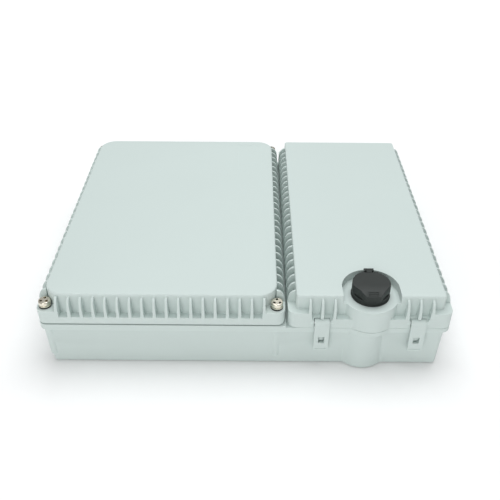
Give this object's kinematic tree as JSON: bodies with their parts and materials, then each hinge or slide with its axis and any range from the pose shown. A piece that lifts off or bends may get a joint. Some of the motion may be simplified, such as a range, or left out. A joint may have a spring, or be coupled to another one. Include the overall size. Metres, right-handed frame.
{
  "type": "fiber termination box",
  "caption": "Wall box for fibre-optic cables with a screwed ribbed cover over the splice side and a hinged, latched and keyed ribbed cover over the patching side.",
  "frame": {"origin": "centre of the flat back face, midway between the ends and between the two long rims", "axes": "+X along the long side from the feeder end to the drop-cable end, +Y from the latch side to the hinge side, +Z out of the mounting surface towards the covers"},
  "size_m": [0.3821, 0.3229, 0.0847],
  "materials": {
    "grey_plastic": "fine satin texture",
    "black_plastic": "satin",
    "rubber": "matt",
    "brass": "turned",
    "steel": "zinc plated",
    "nickel": "warm nickel plate",
    "white_plastic": "satin",
    "splitter_plastic": "satin",
    "comb_plastic": "satin",
    "clear_plastic": "clear polycarbonate",
    "green_plastic": "gloss",
    "red_plastic": "satin"
  },
  "bodies": {
    "base": {"base": "grey_plastic", "operator_gasket": "rubber", "user_gasket": "rubber", "cover_screw_inserts": "brass", "wall_mount_inserts": "brass", "hinge_pins": "steel", "gland_bodies": "black_plastic", "gland_locknuts": "black_plastic", "gland_seals": "rubber", "gland_nuts": "black_plastic", "cable_clamps": "steel", "clamp_screws": "steel", "splitter_module": "splitter_plastic", "splitter_screws": "steel", "tray_standoffs": "white_plastic", "tray_screws": "steel", "splice_tray": "white_plastic", "splice_combs": "comb_plastic", "partition_grommets": "rubber", "adapter_panel": "steel", "panel_screws": "steel", "adapters": "green_plastic", "dust_caps": "red_plastic", "cable_comb": "white_plastic", "comb_screws": "steel", "drop_grommets": "rubber"},
    "tray_lid": {"splice_tray_lid": "clear_plastic"},
    "operator_cover": {"operator_cover": "grey_plastic", "screw_washers": "rubber", "cover_screws": "nickel"},
    "user_cover": {"user_cover": "grey_plastic", "latch_pins": "steel", "lock_housing": "nickel", "lock_nut": "steel", "lock_cap_ring": "black_plastic", "lock_cap_pin": "steel"},
    "latch_left": {"latch_left": "grey_plastic"},
    "latch_right": {"latch_right": "grey_plastic"},
    "lock_core": {"lock_plug": "nickel", "lock_cam": "steel", "cam_screw": "steel"},
    "lock_cap": {"lock_cap_lid": "black_plastic"}
  },
  "joints": [
    {"name": "operator_cover_lift", "type": "slide", "parent": "base", "child": "operator_cover", "axis": [0, 0, 1], "range_m": [0, 0.08]},
    {"name": "tray_lid_lift", "type": "slide", "parent": "base", "child": "tray_lid", "axis": [0, 0, 1], "range_m": [0, 0.04]},
    {"name": "user_cover_hinge", "type": "hinge", "parent": "base", "child": "user_cover", "pos_m": [0.1125, 0.1585, 0.0474], "axis": [-1, 0, 0], "range_deg": [0, 110]},
    {"name": "latch_left_hinge", "type": "hinge", "parent": "user_cover", "child": "latch_left", "pos_m": [0.069, -0.153, 0.053], "axis": [-1, 0, 0], "range_deg": [0, 95]},
    {"name": "latch_right_hinge", "type": "hinge", "parent": "user_cover", "child": "latch_right", "pos_m": [0.1548, -0.153, 0.053], "axis": [-1, 0, 0], "range_deg": [0, 95]},
    {"name": "lock_turn", "type": "hinge", "parent": "user_cover", "child": "lock_core", "pos_m": [0.1125, -0.1348, 0.074], "axis": [0, 0, -1], "range_deg": [0, 90]},
    {"name": "lock_cap_hinge", "type": "hinge", "parent": "user_cover", "child": "lock_cap", "pos_m": [0.1125, -0.1152, 0.0826], "axis": [-1, 0, 0], "range_deg": [0, 110]}
  ]
}
